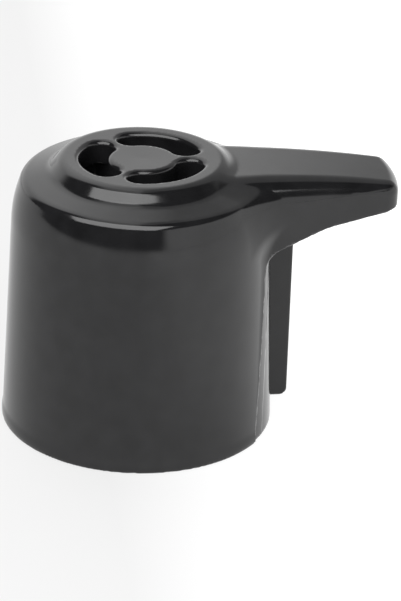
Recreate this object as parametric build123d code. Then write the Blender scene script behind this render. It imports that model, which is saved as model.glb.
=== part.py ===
"""Steam release valve of an electric pressure cooker.

A moulded cap with a lever stands over the vent pipe of the lid. A steel weight inside the cap presses
a needle on the pipe's outlet. Steam lifts the weight and leaves through the three slots in the top.
The cap's axis is +Z, the rim stands on z = 0 and the lever points along +X. Millimetres.
"""

import os
from math import cos, degrees, radians, sin

from build123d import *

# Cap, outside: radius, height and corner radius of each corner of its half outline
RIM_R = 16.5
DISC_TOP_Z = 33.5
WALL_CORNER = (15.39, 27.7, 14.8)
SHOULDER_CORNER = (14.3, 31.05, 1.2)
NECK_CORNER = (11.2, 31.87, 2.2)
DISC_CORNER = (9.75, DISC_TOP_Z, 1.7)
BEAD = 0.1                 # how far the foot bead stands out
BEAD_H = 1.2

# Cap, inside
RECESS_R = 14.2            # open recess under the retainer plate
RECESS_H = 6.0
CAVITY_R = 13.8
CEILING_Z = 30.5
CEILING_R = 8.4
WALL_TOP_Z = 25.0          # where the wall starts to lean in
SHOULDER_CEILING_Z = 28.5
SHOULDER_CEILING_R = 11.6
PILLAR_PITCH_R = 11.6
PILLAR_R = 1.8
STOP_Z = 27.8              # underside of the ribs that stop the weight
HUB_R = 2.2
RIB_T = 1.6

# Steam slots in the disc
SLOT_PITCH_R = 5.8
SLOT_W = 3.3
SLOT_SPAN = 74             # degrees between the centres of a slot's round ends
SLOT_EDGE = 0.5
SPOKES = [0, 120, 240]     # degrees

# Lever
LEVER_TIP_X = 30.6
LEVER_TOP_Z = 32.4
LEVER_TIP_DROP = 1.7
LEVER_ROOT_X = 9.0
LEVER_ROOT_HALF = 7.55
LEVER_NOSE_X = 29.8
LEVER_NOSE_HALF = 4.97
LEVER_CORNER = 1.3         # plan corners of the nose
LEVER_EDGE = 1.1
LEVER_WALL = 1.6
LEVER_ROOF = 2.0
ARCH_ROOT = (14.0, 21.8)   # lower edge of the lever's sides, x and z
ARCH_MID = (17.2, 24.5)
ARCH_END = (21.5, 26.3)
ARCH_RISE = 0.204          # slope of the straight stretch to the tip
BELOW_ARCH = 20.0          # a height below all of it

# Stop tab under the lever
TAB_X = 18.95
TAB_Y = (2.2, 3.9)
TAB_BOTTOM_Z = 0.05
TAB_CORNER = 1.0
TAB_ROOT = 2.0             # how deep it starts inside the skirt

# Retainer plate and its screws
PLATE_R = 13.6
PLATE_T = 2.4
PLATE_HOLE_R = 6.4
SCREW_R = 1.0
SCREW_LENGTH = 9.0         # depth of each pillar's hole
SCREW_HEAD_R = 1.5
SCREW_HEAD_H = 1.1
HEAD_CLEARANCE = 0.1
THREAD_CLEARANCE = 0.5     # between a screw's end and the bottom of its hole
CROSS_W = 0.45
CROSS_L = 1.8
CROSS_DEPTH = 0.6

# Wire clip: two legs joined by a round bend
WIRE_R = 0.5
LEG_Y = 4.6
LEG_TIP_X = 7.6
BEND_X = -7.2
LEG_TIP_EDGE = 0.3
CLIP_SPLIT = 0.02          # half the gap in the middle of the bend
POCKET_DEPTH = 1.3
POCKET_CLEARANCE = 0.05
POCKET = [(-13.0, 3.2), (-9.0, 6.0), (8.9, 8.6)]

# Weight and needle
WEIGHT_R = 9.55
WEIGHT_H = 16.7
WEIGHT_GAP = 0.2           # above the retainer plate at rest
WEIGHT_CHAMFER = 0.8
SOCKET_R = 5.25
SOCKET_DEPTH = 7.0
CHAMBER_R = 4.2
CHAMBER_DEPTH = 3.0
GROOVE_Z = 8.0
GROOVE_W = 1.2
GROOVE_DEPTH = 0.4
NEEDLE_R = 1.6
NEEDLE_SHANK = 6.0
NEEDLE_COLLAR_R = 2.4
NEEDLE_COLLAR_H = 0.6
NEEDLE_CONE_R = 1.3
NEEDLE_TIP_R = 0.25
NEEDLE_CONE_H = 1.8

PLATE_Z = RECESS_H
PLATE_TOP_Z = PLATE_Z + PLATE_T
WEIGHT_Z = PLATE_TOP_Z + WEIGHT_GAP


def on_circle(radius, angle):
    """Point at an angle in degrees on a circle about the cap's axis."""
    return radius * cos(radians(angle)), radius * sin(radians(angle))


def revolved(lines):
    """Solid of revolution about Z from a closed outline in the XZ plane."""
    return revolve(make_face(Plane.XZ * lines), Axis.Z)


def outer_shell():
    """The cap's outer shape: skirt, hip, shoulder, neck and raised disc."""
    corners = [WALL_CORNER, SHOULDER_CORNER, NECK_CORNER, DISC_CORNER]
    points = [(r, z) for r, z, _ in corners]
    half = make_face(Polyline((0, 0), (RIM_R, 0), *points, (0, DISC_TOP_Z), (0, 0)))
    for r, z, radius in corners:
        corner = half.vertices().sort_by(lambda v: (v.X - r) ** 2 + (v.Y - z) ** 2)[0]
        half = fillet(corner, radius)
    return revolve(Plane.XZ * half, Axis.Z)


def foot_bead():
    """Low round bead around the rim."""
    bead_r = RIM_R + BEAD
    inner_r = RIM_R - 1
    outer = [(inner_r, 0), (bead_r, 0), (bead_r, BEAD_H / 2), (RIM_R - BEAD, BEAD_H)]
    return revolved(Polyline(*outer, (inner_r, BEAD_H), (inner_r, 0)))


def lever_plan(inset=0.0):
    """The lever seen from above, with a rounded nose."""
    half_root = LEVER_ROOT_HALF - inset
    half_nose = LEVER_NOSE_HALF - inset
    nose = ThreePointArc(
        (LEVER_NOSE_X, half_nose), (LEVER_TIP_X - inset, 0), (LEVER_NOSE_X, -half_nose)
    )
    sides = Polyline(
        (LEVER_NOSE_X, -half_nose),
        (LEVER_ROOT_X, -half_root),
        (LEVER_ROOT_X, half_root),
        (LEVER_NOSE_X, half_nose),
    )
    plan = make_face(nose + sides)
    corners = plan.vertices().filter_by(lambda v: abs(v.X - LEVER_NOSE_X) < 0.01)
    return fillet(corners, LEVER_CORNER)


def lever_side(roof=0.0, past=0.0):
    """The lever seen from the side: nearly flat top and arched lower edge."""
    reach = LEVER_TIP_X + 1
    low_z = ARCH_END[1] + ARCH_RISE * (reach - ARCH_END[0])
    top_root = (LEVER_ROOT_X, LEVER_TOP_Z - roof)
    top_mid = ((LEVER_ROOT_X + reach) / 2, LEVER_TOP_Z - LEVER_TIP_DROP / 4 - roof)
    top_tip = (reach, LEVER_TOP_Z - LEVER_TIP_DROP - roof)
    if past:
        lower = Polyline(top_tip, (reach, past), (LEVER_ROOT_X, past), top_root)
    else:
        lower = Polyline(top_tip, (reach, low_z), ARCH_END)
        lower += ThreePointArc(ARCH_END, ARCH_MID, ARCH_ROOT)
        lower += Polyline(ARCH_ROOT, (LEVER_ROOT_X, ARCH_ROOT[1]), top_root)
    return make_face(Plane.XZ * (ThreePointArc(top_root, top_mid, top_tip) + lower))


def lever_block():
    """Solid lever, not yet hollowed."""
    block = extrude(lever_plan(), LEVER_TOP_Z + 2)
    block = block & extrude(lever_side(past=BELOW_ARCH), RIM_R, both=True)
    crown = block.faces().sort_by(Axis.Z)[-1]
    rim = crown.edges().filter_by(lambda e: e.center().X > LEVER_ROOT_X + 0.1)
    block = fillet(rim, LEVER_EDGE)
    return block & extrude(lever_side(), RIM_R, both=True)


def lever_hollow():
    """Space inside the lever, open at its underside and clear of the skirt."""
    inner = extrude(lever_plan(LEVER_WALL), LEVER_TOP_Z + 2)
    inner = inner & extrude(lever_side(roof=LEVER_ROOF, past=BELOW_ARCH), RIM_R, both=True)
    return inner - standing(RIM_R, LEVER_TOP_Z)


def stop_tab():
    """Flat fin that hangs from the lever's far side down to the rim."""
    height = ARCH_MID[1] + 1 - TAB_BOTTOM_Z
    start_x = RIM_R - TAB_ROOT
    tab = Pos((start_x + TAB_X) / 2, sum(TAB_Y) / 2, TAB_BOTTOM_Z + height / 2) * Box(
        TAB_X - start_x, TAB_Y[1] - TAB_Y[0], height
    )
    corner = tab.edges().filter_by(Axis.Y).sort_by(lambda e: e.center().X - e.center().Z)[-1]
    return fillet(corner, TAB_CORNER)


def cavity():
    """Recess under the plate and the space for the weight."""
    outline = Polyline(
        (0, -1),
        (RECESS_R, -1),
        (RECESS_R, RECESS_H),
        (CAVITY_R, RECESS_H),
        (CAVITY_R, WALL_TOP_Z),
        (SHOULDER_CEILING_R, SHOULDER_CEILING_Z),
        (CEILING_R, SHOULDER_CEILING_Z),
        (CEILING_R, CEILING_Z),
        (0, CEILING_Z),
        (0, -1),
    )
    return revolved(outline)


def standing(radius, height):
    """Cylinder that stands on z = 0."""
    return Cylinder(radius, height, align=(Align.CENTER, Align.CENTER, Align.MIN))


def inner_ribs():
    """Three screw pillars that guide the weight, and the ribs and hub that stop it."""
    rib_h = CEILING_Z + 1 - STOP_Z
    pillar_h = SHOULDER_CEILING_Z + 1 - PLATE_TOP_Z
    ribs = Pos(0, 0, STOP_Z) * standing(HUB_R, rib_h)
    for angle in SPOKES:
        x, y = on_circle(PILLAR_PITCH_R, angle)
        rib = Box(PILLAR_PITCH_R, RIB_T, rib_h, align=(Align.MIN, Align.CENTER, Align.MIN))
        ribs += Pos(x, y, PLATE_TOP_Z) * standing(PILLAR_R, pillar_h)
        ribs += Rot(0, 0, angle) * Pos(0, 0, STOP_Z) * rib
    return ribs


def steam_slots():
    """Three kidney slots with round ends between the spokes."""
    slots = []
    for angle in SPOKES:
        start = angle + 60 - SLOT_SPAN / 2
        path = CenterArc((0, 0), SLOT_PITCH_R, start, SLOT_SPAN)
        slots.append(Pos(0, 0, STOP_Z) * extrude(SlotArc(path, SLOT_W), DISC_TOP_Z + 1 - STOP_Z))
    return slots


def at_pillars(radius, length, z):
    """The same upright cylinder at each pillar."""
    cylinders = []
    for angle in SPOKES:
        x, y = on_circle(PILLAR_PITCH_R, angle)
        cylinders.append(Pos(x, y, z) * standing(radius, length))
    return cylinders


def cap_housing():
    """One moulding: skirt, shoulder, slotted disc, lever and stop tab."""
    outer = outer_shell() + foot_bead()
    solid = outer + lever_block() - lever_hollow() + stop_tab()
    solid -= cavity()
    solid += inner_ribs() & outer_shell()
    for slot in steam_slots():
        solid -= slot
    for hole in at_pillars(SCREW_R, SCREW_LENGTH, PLATE_TOP_Z - 1):
        solid -= hole
    crown = solid.faces().filter_by(Plane.XY).sort_by(Axis.Z)[-1]
    mouths = [edge for loop in crown.inner_wires() for edge in loop.edges()]
    return fillet(mouths, SLOT_EDGE)


def retainer_plate():
    """Round plate that closes the cavity, with the pipe hole and the clip's pocket."""
    plate = Pos(0, 0, PLATE_Z) * standing(PLATE_R, PLATE_T)
    plate -= standing(PLATE_HOLE_R, PLATE_TOP_Z + 1)
    mirrored = [(x, -y) for x, y in reversed(POCKET)]
    outline = Polyline(*POCKET, *mirrored, POCKET[0])
    plate -= Pos(0, 0, PLATE_TOP_Z - POCKET_DEPTH) * extrude(make_face(outline), POCKET_DEPTH + 1)
    for hole in at_pillars(SCREW_R + HEAD_CLEARANCE, 2 * PLATE_T, PLATE_Z - 1):
        plate -= hole
    for hole in at_pillars(SCREW_HEAD_R + HEAD_CLEARANCE, SCREW_HEAD_H + 1, PLATE_Z - 1):
        plate -= hole
    return plate


def plate_screws():
    """Three self-tapping screws with cross recesses, heads downward."""
    screws = []
    shanks = at_pillars(SCREW_R, SCREW_LENGTH - SCREW_HEAD_H - THREAD_CLEARANCE, PLATE_Z + SCREW_HEAD_H)
    heads = at_pillars(SCREW_HEAD_R, SCREW_HEAD_H, PLATE_Z)
    for angle, shank, head in zip(SPOKES, shanks, heads):
        x, y = on_circle(PILLAR_PITCH_R, angle)
        cross = Box(CROSS_L, CROSS_W, 2 * CROSS_DEPTH) + Box(CROSS_W, CROSS_L, 2 * CROSS_DEPTH)
        screws.append(head + shank - Pos(x, y, PLATE_Z) * cross)
    return Compound(children=screws)


def clip_half(side):
    """One leg of the wire clip and its half of the bend; side is 1 or -1."""
    z = PLATE_TOP_Z - POCKET_DEPTH + POCKET_CLEARANCE + WIRE_R
    split = degrees(CLIP_SPLIT / LEG_Y)
    bend = CenterArc((BEND_X, 0), LEG_Y, 180 - split, -(90 - split))
    leg = Line((BEND_X, LEG_Y), (LEG_TIP_X, LEG_Y))
    path = Pos(0, 0, z) * (bend + leg)
    start = path.wire() @ 0
    section = Plane(origin=start, z_dir=path.wire() % 0) * Circle(WIRE_R)
    half = sweep(section, path=path.wire())
    tip = half.edges().filter_by(GeomType.CIRCLE).sort_by(Axis.X)[-1]
    half = fillet(tip, LEG_TIP_EDGE)
    return half if side > 0 else half.mirror(Plane.XZ)


def weight_body():
    """Turned steel weight with the pipe socket in its underside."""
    top_z = WEIGHT_Z + WEIGHT_H
    ceiling_z = WEIGHT_Z + SOCKET_DEPTH + CHAMBER_DEPTH
    bore_z = ceiling_z + NEEDLE_SHANK
    outline = Polyline(
        (SOCKET_R, WEIGHT_Z),
        (WEIGHT_R - WEIGHT_CHAMFER, WEIGHT_Z),
        (WEIGHT_R, WEIGHT_Z + WEIGHT_CHAMFER),
        (WEIGHT_R, WEIGHT_Z + GROOVE_Z),
        (WEIGHT_R - GROOVE_DEPTH, WEIGHT_Z + GROOVE_Z + GROOVE_DEPTH),
        (WEIGHT_R - GROOVE_DEPTH, WEIGHT_Z + GROOVE_Z + GROOVE_W - GROOVE_DEPTH),
        (WEIGHT_R, WEIGHT_Z + GROOVE_Z + GROOVE_W),
        (WEIGHT_R, top_z - WEIGHT_CHAMFER),
        (WEIGHT_R - WEIGHT_CHAMFER, top_z),
        (0, top_z),
        (0, bore_z),
        (NEEDLE_R, bore_z),
        (NEEDLE_R, ceiling_z),
        (CHAMBER_R, ceiling_z),
        (CHAMBER_R, WEIGHT_Z + SOCKET_DEPTH),
        (SOCKET_R, WEIGHT_Z + SOCKET_DEPTH),
        (SOCKET_R, WEIGHT_Z),
    )
    return revolved(outline)


def valve_needle():
    """Stainless needle, shank up in the weight and cone down on the pipe's outlet."""
    ceiling_z = WEIGHT_Z + SOCKET_DEPTH + CHAMBER_DEPTH
    collar_z = ceiling_z - NEEDLE_COLLAR_H
    tip_z = collar_z - NEEDLE_CONE_H
    outline = Polyline(
        (0, tip_z),
        (NEEDLE_TIP_R, tip_z),
        (NEEDLE_CONE_R, collar_z),
        (NEEDLE_COLLAR_R, collar_z),
        (NEEDLE_COLLAR_R, ceiling_z),
        (NEEDLE_R, ceiling_z),
        (NEEDLE_R, ceiling_z + NEEDLE_SHANK),
        (0, ceiling_z + NEEDLE_SHANK),
        (0, tip_z),
    )
    return revolved(outline)


NODES = {
    "cap_housing": cap_housing,
    "retainer_plate": retainer_plate,
    "plate_screws": plate_screws,
    "clip_leg_left": lambda: clip_half(1),
    "clip_leg_right": lambda: clip_half(-1),
    "weight_body": weight_body,
    "valve_needle": valve_needle,
}

os.makedirs("parts", exist_ok=True)
for name, make in NODES.items():
    export_step(make(), f"parts/{name}.step")
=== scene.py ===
"""Looks of the steam release valve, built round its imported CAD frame.

The moulded cap is one smooth mesh. It is described by distance functions in millimetres, with the
fillets and blends of a real moulding, and meshed on a grid. The other pieces keep their CAD shape.
"""

import math

import bpy
import numpy as np
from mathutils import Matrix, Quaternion, Vector


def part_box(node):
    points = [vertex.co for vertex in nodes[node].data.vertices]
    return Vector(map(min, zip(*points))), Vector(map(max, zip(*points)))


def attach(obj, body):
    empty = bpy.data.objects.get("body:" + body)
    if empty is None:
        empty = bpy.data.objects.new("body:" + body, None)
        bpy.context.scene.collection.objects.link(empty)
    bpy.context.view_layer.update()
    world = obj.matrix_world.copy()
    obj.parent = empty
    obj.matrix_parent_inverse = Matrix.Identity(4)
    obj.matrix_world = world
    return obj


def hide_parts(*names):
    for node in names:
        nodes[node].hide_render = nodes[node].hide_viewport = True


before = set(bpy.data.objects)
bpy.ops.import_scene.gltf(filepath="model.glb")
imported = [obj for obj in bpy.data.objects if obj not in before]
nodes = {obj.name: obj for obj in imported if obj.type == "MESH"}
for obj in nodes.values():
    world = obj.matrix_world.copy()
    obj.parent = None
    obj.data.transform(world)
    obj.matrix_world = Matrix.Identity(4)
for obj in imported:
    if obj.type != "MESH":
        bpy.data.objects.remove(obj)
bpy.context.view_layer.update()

MM = 0.001
TIP_GAP, TOP_GAP = 0.08, 0.03    # how far the lever's tip and the disc stay inside the CAD's
cap_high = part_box("cap_housing")[1] / MM
plate_low, plate_high = (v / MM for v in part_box("retainer_plate"))
TIP_X = cap_high.x - TIP_GAP
TOP_Z = cap_high.z - TOP_GAP
PLATE_TOP = plate_high.z
RECESS_TOP = plate_low.z

# Camera: where it stands and what it looks at, from the axis at mid height
VIEW_AZIMUTH = -6.5
VIEW_ELEVATION = 25.4
VIEW_DISTANCE = 341.8
VIEW_CENTRE_Z = 16.5
VIEW_RIGHT = 7.34
VIEW_UP = -1.45
VIEW_ROLL = 1.89
LENS = 170.0

# Studio: brightness, azimuth range, elevation range and softness, in degrees from the camera's side.
# The first is the rest of the studio.
STUDIO = [
    (1.3, None, None, 0),
    (1.8, (-172, -125), (32, 95), 8),
    (0.6, (100, 174), (12, 95), 5),
    (0.03, (-122, 8), (-30, 62), 5),
    (0.03, (-4, 115), (-30, 84), 6),
    (1.4, (21, 112), (-30, 18), 3),
    (1.4, (32, 112), (-30, 24), 3),
]
SOFTBOX = dict(azimuth=-24.5, elevation=47, distance=0.7, width=1.04, height=0.56, brightness=5.2)
FLOOR_SIZE = 3.0
# The floor's own glow, rising from -x to +x: painted light, brighter on the right side, which also washes
# out the shadows on the floor.
FLOOR_GLOW = (0.66, 1.12)
FLOOR_GLOW_X = (-0.005, 0.035)

# Cap, outside: corners of its half outline as (radius, height, corner radius)
RIM_R, DRAFT = 16.5, 0.04
OUTLINE = [
    (RIM_R + 4 * DRAFT, -4.0, 0),
    (15.39, 27.7, 14.8),
    (14.3, 31.05, 1.2),
    (11.15, 31.86, 1.6),
    (9.7, TOP_Z + 0.03, 1.4),
    (0.0, TOP_Z - 0.1, 0),
]
BEAD, BEAD_H = 0.1, 1.2
RIM_EDGE = 0.25

# Cap, inside
RECESS_R = 14.2
CAVITY_R = 13.8
WALL_TOP = 25.0                  # where the wall starts to lean in
CEILING_R, CEILING_Z = 8.4, 30.5
SIDE_CEILING_Z = 28.5
WALL_LEAN = 2.2
PILLAR_PITCH, PILLAR_R = 11.6, 1.8
STOP_Z = 27.8
HUB_R, RIB_T = 2.2, 1.6
SCREW_R, SCREW_TOP = 1.0, 16.4
INNER_EDGE = 0.3

# Steam slots
SLOT_PITCH, SLOT_W, SLOT_SPAN = 5.8, 3.3, 74.0
SLOT_EDGE, SLOT_DRAFT = 0.6, 0.03
SPOKES = (0.0, 120.0, 240.0)

# Lever: half width and taper from its root, round nose, drooping top
ROOT_X, ROOT_HALF, TAPER = 9.0, 7.55, 0.124
NOSE_R, NOSE_EDGE = 16.9, 1.3
LEVER_TOP, DROP_X, DROP = 32.7, 10.0, 0.0037
EDGE_ROOT, EDGE_X, EDGE_FALL = 2.4, 14.6, 0.06
LEAST_EDGE = 0.8
LEVER_WALL, LEVER_ROOF = 1.6, 2.0
LEVER_START_X = 4.0               # the lever's shape counts only outside this
ARCH_EDGE = 0.3
HOLLOW_ROUND, HOLLOW_END, HOLLOW_EDGE = 0.6, 0.4, 0.3
FAR = 50.0                       # a distance larger than the part
# the crease along each side: the face above it leans in
CREASE_X, CREASE_Z, CREASE_RISE = 14.6, 29.8, 0.0664
CREASE_LINE = 0.16
LEAN = 0.2
# underside, as corners of its outline in the lever's middle plane
ARCH = [(9.0, 14.5, 0), (15.2, 23.54, 3.0), (21.5, 26.29, 12.0), (40.0, 30.06, 0)]

# Lever's foot on the wall: its sides run on down as flared gussets beside a smooth pad
FLARE, FLARE_Z = 0.125, 22.0
GUSSET, GUSSET_W, GUSSET_Z, GUSSET_FADE = 0.3, 1.2, 23.0, 3.0
LEAST_GUSSET = 0.1               # share of the gusset left at the rim
PAD_R, PAD_DRAFT = 16.35, 0.0335
PAD_CORNER, PAD_EDGE = 0.25, 0.2
BLEND_LOW, BLEND_SIDE, BLEND_TOP = 0.3, 3.0, 0.75
BLEND_RISE = 3.5
BLEND_SIDE_Z, BLEND_TOP_Z = 30.2, 32.4

# Stop tab
TAB_X, TAB_Y, TAB_BOTTOM = 18.9, (2.2, 3.9), 0.05
TAB_CORNER, TAB_EDGE = 1.0, 0.25
TAB_ROOT_X, TAB_TOP = 13.0, 28.0
TAB_FILLET = 0.3

CELL = 0.34


# ---- distance functions, all in millimetres, negative inside ----

def corner_path(corners):
    """Lines and tangent arcs through corner points, each with its own radius."""
    pieces = []
    start = np.array(corners[0][:2])
    for before, corner, after in zip(corners, corners[1:], corners[2:]):
        here = np.array(corner[:2])
        into = here - np.array(before[:2])
        out = np.array(after[:2]) - here
        into, out = into / np.linalg.norm(into), out / np.linalg.norm(out)
        turn = math.atan2(into[0] * out[1] - into[1] * out[0], into @ out)
        cut = corner[2] * math.tan(abs(turn) / 2)
        a, b = here - into * cut, here + out * cut
        side = math.copysign(1, turn)
        centre = a + side * corner[2] * np.array([-into[1], into[0]])
        pieces.append(("line", start, a))
        pieces.append(("arc", centre, corner[2], side, here - centre))
        start = b
    pieces.append(("line", start, np.array(corners[-1][:2])))
    return pieces


def path_distance(pieces, u, v):
    """Signed distance to a path in a plane. Its left side is inside."""
    best = np.full(u.shape, np.inf)
    signed = np.full(u.shape, np.inf)
    for piece in pieces:
        if piece[0] == "line":
            a, b = piece[1], piece[2]
            length = np.linalg.norm(b - a)
            if length < 1e-6:
                continue
            along = (b - a) / length
            du, dv = u - a[0], v - a[1]
            t = np.clip(du * along[0] + dv * along[1], 0, length)
            side = du * along[1] - dv * along[0]
            near = np.hypot(du - t * along[0], dv - t * along[1])
            value = np.copysign(near, side)
        else:
            centre, radius, turn, middle = piece[1:]
            du, dv = u - centre[0], v - centre[1]
            reach = np.hypot(du, dv)
            value = turn * (reach - radius)
            near = np.abs(value)
            facing = (du * middle[0] + dv * middle[1]) / (reach * np.linalg.norm(middle) + 1e-9)
            near = np.where(facing > radius / np.linalg.norm(middle) - 1e-4, near, np.inf)
        closer = near < best
        best = np.where(closer, near, best)
        signed = np.where(closer, value, signed)
    return signed


def join(a, b, r):
    """Union with a round fillet of radius r."""
    return np.maximum(r, np.minimum(a, b)) - np.hypot(np.maximum(r - a, 0), np.maximum(r - b, 0))


def meet(a, b, r):
    """Intersection with a rounded edge of radius r."""
    return np.minimum(-r, np.maximum(a, b)) + np.hypot(np.maximum(r + a, 0), np.maximum(r + b, 0))


def smoothstep(t):
    t = np.clip(t, 0, 1)
    return t * t * (3 - 2 * t)


def turned(x, y, degrees):
    """x and y seen in a frame turned about Z."""
    c, s = math.cos(math.radians(degrees)), math.sin(math.radians(degrees))
    return c * x + s * y, c * y - s * x


def slab(value, low, high):
    return np.maximum(low - value, value - high)


BODY_PATH = corner_path(OUTLINE)
ARCH_PATH = corner_path(ARCH)


def skirt(z, r, beside):
    """Outer surface of revolution, with its foot bead and the gussets beside the pad."""
    bead = BEAD * smoothstep((BEAD_H * 1.4 - z) / (BEAD_H * 0.8))
    height = np.clip(z / GUSSET_Z, LEAST_GUSSET, 1)
    gusset = GUSSET * height * np.clip(1 - beside / (GUSSET_W * height), 0, 1) ** 2
    gusset *= smoothstep((GUSSET_Z + GUSSET_FADE - z) / GUSSET_FADE)
    return path_distance(BODY_PATH, r, z) - bead - gusset


def lever_parts(x, y, z, r):
    """The lever, the hollow in it, the space under it, and the distances from its sides and its arch."""
    half = ROOT_HALF - TAPER * (x - ROOT_X) + FLARE * np.maximum(FLARE_Z - z, 0)
    side = (np.abs(y) - half) * math.cos(math.atan(TAPER))
    nose = np.hypot(x - (TIP_X - NOSE_R), y) - NOSE_R
    top = z - LEVER_TOP + DROP * np.maximum(x - DROP_X, 0) ** 2
    above = z - CREASE_Z - CREASE_RISE * (x - CREASE_X)
    edge = np.clip(EDGE_ROOT - EDGE_FALL * (x - EDGE_X), LEAST_EDGE, EDGE_ROOT)
    arch = path_distance(ARCH_PATH, x, z)
    outer = meet(meet(side + LEAN * np.maximum(above, 0), top, edge), nose, NOSE_EDGE)
    outer = np.where(x > LEVER_START_X, meet(outer, arch, ARCH_EDGE), FAR)
    inner = meet(side + LEVER_WALL, top + LEVER_ROOF, HOLLOW_ROUND)
    inner = meet(inner, nose + LEVER_WALL, HOLLOW_ROUND)
    pad = meet(side, PAD_R - PAD_DRAFT * z - r, PAD_CORNER)
    under = np.maximum(pad, np.maximum(-arch, LEVER_START_X - x))
    beside = np.where(x > LEVER_START_X, np.maximum(side, 0), FAR)
    return outer, inner, under, beside, arch


def stop_tab(x, y, z):
    side = slab(y, *TAB_Y)
    front = meet(x - TAB_X, TAB_BOTTOM - z, TAB_CORNER)
    tab = meet(side, front, TAB_EDGE)
    return np.maximum(np.maximum(tab, TAB_ROOT_X - x), z - TAB_TOP)


def kidney(x, y):
    """Distance in plan to the nearest of the three steam slots."""
    best = np.full(x.shape, np.inf)
    half = math.radians(SLOT_SPAN / 2)
    for spoke in SPOKES:
        u, v = turned(x, y, spoke + 60)
        v = np.abs(v)
        within = np.arctan2(v, u) < half
        ring = np.abs(np.hypot(u, v) - SLOT_PITCH)
        end = np.hypot(u - SLOT_PITCH * math.cos(half), v - SLOT_PITCH * math.sin(half))
        best = np.minimum(best, np.where(within, ring, end) - SLOT_W / 2)
    return best


def cavity(x, y, z, r):
    """Space inside the cap, less the pillars, ribs and hub that stand in it."""
    recess = np.maximum(r - RECESS_R, z - RECESS_TOP)
    main = np.maximum(r - CAVITY_R, z - WALL_TOP)
    rise = SIDE_CEILING_Z - WALL_TOP
    slope = ((r - CAVITY_R) * rise + (z - WALL_TOP) * WALL_LEAN) / math.hypot(rise, WALL_LEAN)
    side = np.maximum(slope, np.maximum(z - SIDE_CEILING_Z, r - CAVITY_R))
    well = np.maximum(r - CEILING_R, z - CEILING_Z)
    room = np.minimum(np.minimum(recess, main), np.minimum(side, well))
    solid = np.maximum(r - HUB_R, STOP_Z - z)
    for spoke in SPOKES:
        u, v = turned(x, y, spoke)
        pillar = np.maximum(np.hypot(u - PILLAR_PITCH, v) - PILLAR_R, PLATE_TOP - z)
        rib = np.maximum(np.abs(v) - RIB_T / 2, np.maximum(np.maximum(-u, u - PILLAR_PITCH), STOP_Z - z))
        solid = np.minimum(solid, np.minimum(pillar, rib))
    room = meet(room, -solid, INNER_EDGE)
    for spoke in SPOKES:
        u, v = turned(x, y, spoke)
        hole = np.maximum(np.hypot(u - PILLAR_PITCH, v) - SCREW_R, z - SCREW_TOP)
        room = np.minimum(room, np.maximum(hole, PLATE_TOP - 1 - z))
    return room


def cap(x, y, z):
    """The whole moulding."""
    r = np.hypot(x, y)
    outer, inner, under, beside, arch = lever_parts(x, y, z, r)
    blend = BLEND_LOW + (BLEND_SIDE - BLEND_LOW) * smoothstep(-arch / BLEND_RISE)
    blend += (BLEND_TOP - blend) * smoothstep((z - BLEND_SIDE_Z) / (BLEND_TOP_Z - BLEND_SIDE_Z))
    hollow = meet(inner, -path_distance(BODY_PATH, r, z), HOLLOW_END)
    solid = join(skirt(z, r, beside), outer, blend)
    solid = meet(meet(solid, -under, PAD_EDGE), -hollow, HOLLOW_EDGE)
    solid = join(solid, stop_tab(x, y, z), TAB_FILLET)
    solid = meet(solid, -z, RIM_EDGE)
    slots = np.maximum(kidney(x, y) + SLOT_DRAFT * (TOP_Z - z), STOP_Z - z)
    solid = meet(solid, -slots, SLOT_EDGE)
    return meet(solid, -cavity(x, y, z, r), INNER_EDGE)


# ---- meshing ----

def gradient(field, points, step=0.01):
    """Unit normals of the field at points."""
    out = np.empty_like(points)
    for axis in range(3):
        ahead, behind = points.copy(), points.copy()
        ahead[:, axis] += step
        behind[:, axis] -= step
        out[:, axis] = field(*ahead.T) - field(*behind.T)
    return out / np.maximum(np.linalg.norm(out, axis=1, keepdims=True), 1e-9)


def surface_net(field, low, high, cell):
    """Quads on the zero level of a field sampled on a grid: one vertex in each crossed cell."""
    axes = [np.arange(a, b + cell, cell) for a, b in zip(low, high)]
    shape = tuple(len(a) for a in axes)
    grid = np.empty(shape, np.float32)
    for k, z in enumerate(axes[2]):
        x, y = np.meshgrid(axes[0], axes[1], indexing="ij")
        grid[:, :, k] = field(x, y, np.full_like(x, z))
    inside = grid < 0
    cells = tuple(n - 1 for n in shape)
    total = np.zeros(cells + (3,), np.float32)
    count = np.zeros(cells, np.float32)
    crossings = []
    for axis in range(3):
        lo = [slice(None)] * 3
        hi = [slice(None)] * 3
        lo[axis], hi[axis] = slice(None, -1), slice(1, None)
        a, b = grid[tuple(lo)], grid[tuple(hi)]
        cross = inside[tuple(lo)] != inside[tuple(hi)]
        index = np.argwhere(cross)
        t = a[cross] / (a[cross] - b[cross])
        place = index.astype(np.float32)
        place[:, axis] += t
        crossings.append((axis, index, inside[tuple(lo)][cross]))
        others = [n for n in range(3) if n != axis]
        for i in (0, 1):
            for j in (0, 1):
                home = index.copy()
                home[:, others[0]] -= i
                home[:, others[1]] -= j
                ok = (home >= 0).all(1) & (home < cells).all(1)
                where = tuple(home[ok].T)
                np.add.at(total, where, place[ok])
                np.add.at(count, where, 1)
    used = count > 0
    number = np.full(cells, -1, np.int64)
    number[used] = np.arange(used.sum())
    points = total[used] / count[used][:, None] * cell + np.array([a[0] for a in axes], np.float32)
    quads = []
    for axis, index, start_inside in crossings:
        first, second = [(1, 2), (2, 0), (0, 1)][axis]
        corners = []
        for i, j in ((0, 0), (1, 0), (1, 1), (0, 1)):
            home = index.copy()
            home[:, first] -= i
            home[:, second] -= j
            corners.append(home)
        ok = np.all([(c >= 0).all(1) & (c < cells).all(1) for c in corners], axis=0)
        quad = np.stack([number[tuple(c[ok].T)] for c in corners], axis=1)
        flip = ~start_inside[ok]
        quad[flip] = quad[flip][:, ::-1]
        quads.append(quad)
    return points.astype(np.float64), np.concatenate(quads)


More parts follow.
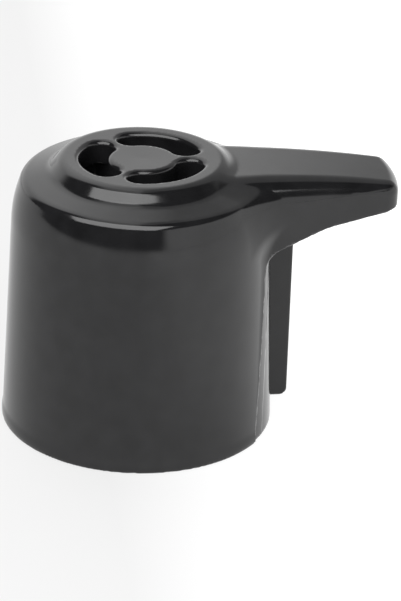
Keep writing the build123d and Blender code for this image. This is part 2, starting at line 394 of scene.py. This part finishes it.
def onto_surface(field, points, cell, rounds=4):
    """Moves points along the field's slope on to its zero level."""
    start = points.copy()
    for _ in range(rounds):
        step = field(*points.T)[:, None] * gradient(field, points)
        points = points - np.clip(step, -0.3 * cell, 0.3 * cell)
    drift = points - start
    far = np.linalg.norm(drift, axis=1) > 0.9 * cell
    points[far] = start[far]
    return points


def mesh_object(name, points, faces, normals=None):
    mesh = bpy.data.meshes.new(name)
    mesh.from_pydata((points * MM).tolist(), [], faces.tolist())
    mesh.validate()
    mesh.polygons.foreach_set("use_smooth", [True] * len(mesh.polygons))
    if normals is not None:
        mesh.normals_split_custom_set_from_vertices(normals.tolist())
    made = bpy.data.objects.new(name, mesh)
    bpy.context.scene.collection.objects.link(made)
    return made


def cap_shell():
    """The moulded cap as one smooth mesh."""
    low = (-RIM_R - 1, -RIM_R - 1, -1.0)
    high = (TIP_X + 1, RIM_R + 1, TOP_Z + 1)
    points, faces = surface_net(cap, low, high, CELL)
    points = onto_surface(cap, points, CELL)
    return mesh_object("cap_shell", points, faces, gradient(cap, points))


# ---- materials ----

def new_material(name, base, roughness, metallic=0.0, ior=1.5, coat=0.0):
    made = bpy.data.materials.new(name)
    made.use_nodes = True
    shader = made.node_tree.nodes["Principled BSDF"]
    shader.inputs["Base Color"].default_value = (*base, 1)
    shader.inputs["Roughness"].default_value = roughness
    shader.inputs["Metallic"].default_value = metallic
    shader.inputs["IOR"].default_value = ior
    shader.inputs["Coat Weight"].default_value = coat
    return made, made.node_tree, shader


def node(tree, kind, **values):
    """A node with its sockets set by name, or linked where the value is another node's socket."""
    made = tree.nodes.new(kind)
    for name, value in values.items():
        socket = made.inputs[name.replace("_", " ")] if name.replace("_", " ") in made.inputs else None
        if socket is None:
            setattr(made, name, value)
        elif isinstance(value, bpy.types.NodeSocket):
            tree.links.new(value, socket)
        else:
            socket.default_value = value
    return made


def math_node(tree, operation, *values):
    made = tree.nodes.new("ShaderNodeMath")
    made.operation = operation
    for socket, value in zip(made.inputs, values):
        if isinstance(value, bpy.types.NodeSocket):
            tree.links.new(value, socket)
        else:
            socket.default_value = value
    return made.outputs[0]


def fine_noise(tree, scale, detail=4.0, stretch=(1, 1, 1)):
    place = node(tree, "ShaderNodeTexCoord").outputs["Object"]
    mapped = node(tree, "ShaderNodeMapping", Vector=place, Scale=stretch).outputs[0]
    return node(tree, "ShaderNodeTexNoise", Vector=mapped, Scale=scale, Detail=detail).outputs["Fac"]


def ranged(tree, value, low, high, start=0.35, end=0.65):
    made = node(tree, "ShaderNodeMapRange", Value=value)
    for name, number in (("From Min", start), ("From Max", end), ("To Min", low), ("To Max", high)):
        made.inputs[name].default_value = number
    return made.outputs["Result"]


def worn_edges(tree, radius):
    """About 1 on convex edges and 0 on flats."""
    bevel = node(tree, "ShaderNodeBevel", Radius=radius).outputs[0]
    plain = node(tree, "ShaderNodeNewGeometry").outputs["Normal"]
    dot = tree.nodes.new("ShaderNodeVectorMath")
    dot.operation = "DOT_PRODUCT"
    tree.links.new(bevel, dot.inputs[0])
    tree.links.new(plain, dot.inputs[1])
    return ranged(tree, dot.outputs["Value"], 1.0, 0.0, 0.86, 0.995)


def crease_line(tree):
    """1 on the fine matt line along each of the lever's creases, 0 elsewhere."""
    place = node(tree, "ShaderNodeTexCoord").outputs["Object"]
    x, y, z = node(tree, "ShaderNodeSeparateXYZ", Vector=place).outputs
    rise = math_node(tree, "MULTIPLY_ADD", x, -CREASE_RISE, (CREASE_RISE * CREASE_X - CREASE_Z) * MM)
    away = math_node(tree, "ABSOLUTE", math_node(tree, "ADD", z, rise))
    line = ranged(tree, away, 1.0, 0.0, 0.0, CREASE_LINE * MM)
    start = ranged(tree, x, 0.0, 1.0, (CREASE_X - 1) * MM, (CREASE_X + 4) * MM)
    on_side = ranged(tree, math_node(tree, "ABSOLUTE", y), 0.0, 1.0, 4.0 * MM, 4.6 * MM)
    return math_node(tree, "MULTIPLY", line, math_node(tree, "MULTIPLY", start, on_side))


def moulded_black(name, base, roughness, ripple, grain, line=0.0):
    """Black moulding compound: soft flow ripple, fine grain, uneven gloss and rubbed edges."""
    made, tree, shader = new_material(name, base, roughness, ior=1.45)
    gloss = ranged(tree, fine_noise(tree, 160.0, 5.0), roughness * 0.8, roughness * 1.35)
    rubbed = math_node(tree, "MULTIPLY", worn_edges(tree, 0.0002), 0.25)
    rough = math_node(tree, "ADD", gloss, rubbed)
    if line:
        rough = math_node(tree, "ADD", rough, math_node(tree, "MULTIPLY", crease_line(tree), line))
    tree.links.new(rough, shader.inputs["Roughness"])
    flow = node(tree, "ShaderNodeBump", Height=fine_noise(tree, 90.0, 2.0), Strength=1.0)
    flow.inputs["Distance"].default_value = ripple
    grainy = node(tree, "ShaderNodeBump", Height=fine_noise(tree, 2600.0, 3.0), Strength=1.0)
    grainy.inputs["Distance"].default_value = grain
    tree.links.new(flow.outputs[0], grainy.inputs["Normal"])
    tree.links.new(grainy.outputs[0], shader.inputs["Normal"])
    tone = node(tree, "ShaderNodeMix", data_type="RGBA")
    tree.links.new(ranged(tree, fine_noise(tree, 420.0, 6.0), 0.0, 1.0), tone.inputs["Factor"])
    tone.inputs["A"].default_value = (*base, 1)
    tone.inputs["B"].default_value = (*[c * 1.5 for c in base], 1)
    tree.links.new(tone.outputs["Result"], shader.inputs["Base Color"])
    return made


def turned_metal(name, base, roughness, pitch, depth):
    """Metal with fine tool marks in rings about the valve's axis."""
    made, tree, shader = new_material(name, base, roughness, metallic=1.0)
    place = node(tree, "ShaderNodeTexCoord").outputs["Object"]
    parts = node(tree, "ShaderNodeSeparateXYZ", Vector=place).outputs
    squares = [math_node(tree, "MULTIPLY", part, part) for part in parts[:2]]
    radius = math_node(tree, "SQRT", math_node(tree, "ADD", *squares))
    along = math_node(tree, "ADD", radius, parts[2])
    wave = math_node(tree, "SINE", math_node(tree, "MULTIPLY", along, 2 * math.pi / pitch))
    marks = math_node(tree, "ADD", wave, fine_noise(tree, 900.0, 4.0, (1, 1, 6)))
    bump = node(tree, "ShaderNodeBump", Height=marks, Strength=1.0)
    bump.inputs["Distance"].default_value = depth
    tree.links.new(bump.outputs[0], shader.inputs["Normal"])
    gloss = ranged(tree, fine_noise(tree, 300.0, 5.0), roughness * 0.75, roughness * 1.4)
    tree.links.new(gloss, shader.inputs["Roughness"])
    stain = node(tree, "ShaderNodeMix", data_type="RGBA")
    tree.links.new(ranged(tree, fine_noise(tree, 120.0, 6.0), 0.0, 1.0), stain.inputs["Factor"])
    stain.inputs["A"].default_value = (*base, 1)
    stain.inputs["B"].default_value = (*[c * 0.8 for c in base], 1)
    tree.links.new(stain.outputs["Result"], shader.inputs["Base Color"])
    return made


def plated_metal(name, base, roughness, grain):
    """Bright metal with a fine uneven grain."""
    made, tree, shader = new_material(name, base, roughness, metallic=1.0)
    bump = node(tree, "ShaderNodeBump", Height=fine_noise(tree, 1800.0, 5.0), Strength=1.0)
    bump.inputs["Distance"].default_value = grain
    tree.links.new(bump.outputs[0], shader.inputs["Normal"])
    gloss = ranged(tree, fine_noise(tree, 500.0, 5.0), roughness * 0.7, roughness * 1.5)
    tree.links.new(gloss, shader.inputs["Roughness"])
    return made


def paint(piece, material):
    piece.data.materials.clear()
    piece.data.materials.append(material)


# ---- stage ----

def direction(azimuth, elevation):
    """Unit vector from the object. Azimuth 0 is towards the camera and grows to its right."""
    a, e = math.radians(azimuth + VIEW_AZIMUTH), math.radians(elevation)
    return Vector((math.sin(a) * math.cos(e), -math.cos(a) * math.cos(e), math.sin(e)))


def make_camera():
    data = bpy.data.cameras.new("camera")
    data.lens = LENS
    data.sensor_width = 36.0
    camera = bpy.data.objects.new("camera", data)
    bpy.context.scene.collection.objects.link(camera)
    back = direction(0, VIEW_ELEVATION)
    right = Vector((0, 0, 1)).cross(back).normalized()
    up = back.cross(right)
    centre = Vector((0, 0, VIEW_CENTRE_Z))
    place = centre + back * VIEW_DISTANCE
    aim = centre + right * VIEW_RIGHT + up * VIEW_UP
    camera.location = place * MM
    camera.rotation_mode = "QUATERNION"
    level = (aim - place).to_track_quat("-Z", "Y")
    camera.rotation_quaternion = level @ Quaternion((0, 0, 1), math.radians(VIEW_ROLL))
    data.clip_start, data.clip_end = 0.01, 20.0
    bpy.context.scene.camera = camera
    return camera


def make_floor():
    mesh = bpy.data.meshes.new("floor")
    turns = [(-1, -1), (1, -1), (1, 1), (-1, 1)]
    corners = [(a * FLOOR_SIZE, b * FLOOR_SIZE, 0) for a, b in turns]
    mesh.from_pydata(corners, [], [(0, 1, 2, 3)])
    floor = bpy.data.objects.new("floor", mesh)
    bpy.context.scene.collection.objects.link(floor)
    # The floor glows on its own, more towards +x: painted light standing in for light on the floor,
    # stronger on the right. Its grey base only adds a little lit shading.
    made, tree, shader = new_material("floor_painted_glow", (0.15, 0.15, 0.15), 0.8)
    shader.inputs["Emission Color"].default_value = (1, 1, 1, 1)
    place = node(tree, "ShaderNodeTexCoord").outputs["Object"]
    across = node(tree, "ShaderNodeSeparateXYZ", Vector=place).outputs[0]
    glow = ranged(tree, across, *FLOOR_GLOW, *FLOOR_GLOW_X)
    tree.links.new(glow, shader.inputs["Emission Strength"])
    paint(floor, made)


def band(tree, value, low, high, soft):
    """1 where value lies between low and high, with soft ends."""
    rise = ranged(tree, value, 0.0, 1.0, low - soft, low + soft)
    fall = ranged(tree, value, 1.0, 0.0, high - soft, high + soft)
    return math_node(tree, "MULTIPLY", rise, fall)


def make_world():
    """White studio, dark towards the camera."""
    world = bpy.data.worlds.new("studio")
    bpy.context.scene.world = world
    world.use_nodes = True
    tree = world.node_tree
    glow = tree.nodes["Background"]
    glow.inputs["Color"].default_value = (1, 1, 1, 1)
    way = node(tree, "ShaderNodeTexCoord").outputs["Generated"]
    right, front = direction(90, 0), direction(0, 0)

    def dot(vector):
        made = tree.nodes.new("ShaderNodeVectorMath")
        made.operation = "DOT_PRODUCT"
        tree.links.new(way, made.inputs[0])
        made.inputs[1].default_value = vector
        return made.outputs["Value"]

    azimuth = math_node(tree, "ARCTAN2", dot(right), dot(front))
    elevation = math_node(tree, "ARCSINE", dot(Vector((0, 0, 1))))
    level = None
    for brightness, az, el, soft in STUDIO:
        if level is None:
            level = brightness
            continue
        patch = math_node(
            tree, "MULTIPLY",
            band(tree, azimuth, *[math.radians(v) for v in az], math.radians(soft)),
            band(tree, elevation, *[math.radians(v) for v in el], math.radians(soft)),
        )
        mixed = node(tree, "ShaderNodeMix", data_type="FLOAT", Factor=patch)
        if isinstance(level, float):
            mixed.inputs["A"].default_value = level
        else:
            tree.links.new(level, mixed.inputs["A"])
        mixed.inputs["B"].default_value = brightness
        level = mixed.outputs["Result"]
    tree.links.new(level, glow.inputs["Strength"])


def make_softbox(azimuth, elevation, distance, width, height, brightness):
    data = bpy.data.lights.new("softbox", "AREA")
    data.shape = "RECTANGLE"
    data.size, data.size_y = width, height
    data.energy = brightness * math.pi * width * height
    lamp = bpy.data.objects.new("softbox", data)
    bpy.context.scene.collection.objects.link(lamp)
    way = direction(azimuth, elevation)
    lamp.location = way * distance
    lamp.rotation_mode = "QUATERNION"
    lamp.rotation_quaternion = way.to_track_quat("Z", "Y")


bpy.context.scene.view_settings.view_transform = "Standard"
make_camera()
make_floor()
make_world()
make_softbox(**SOFTBOX)

shell = cap_shell()
paint(shell, moulded_black("black_phenolic", (0.006, 0.006, 0.0064), 0.12, 0.000006, 0.0000008, 0.4))
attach(shell, "cap")
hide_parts("cap_housing")

wire = plated_metal("spring_wire", (0.62, 0.61, 0.59), 0.22, 0.000002)
paint(nodes["retainer_plate"], moulded_black("black_nylon", (0.020, 0.020, 0.021), 0.42, 0.00001, 0.000004))
paint(nodes["plate_screws"], plated_metal("zinc_screw", (0.55, 0.55, 0.54), 0.3, 0.000003))
paint(nodes["clip_leg_left"], wire)
paint(nodes["clip_leg_right"], wire)
paint(nodes["weight_body"], turned_metal("turned_weight", (0.52, 0.52, 0.51), 0.3, 0.00018, 0.000004))
paint(nodes["valve_needle"], turned_metal("turned_needle", (0.66, 0.65, 0.63), 0.18, 0.0001, 0.000002))
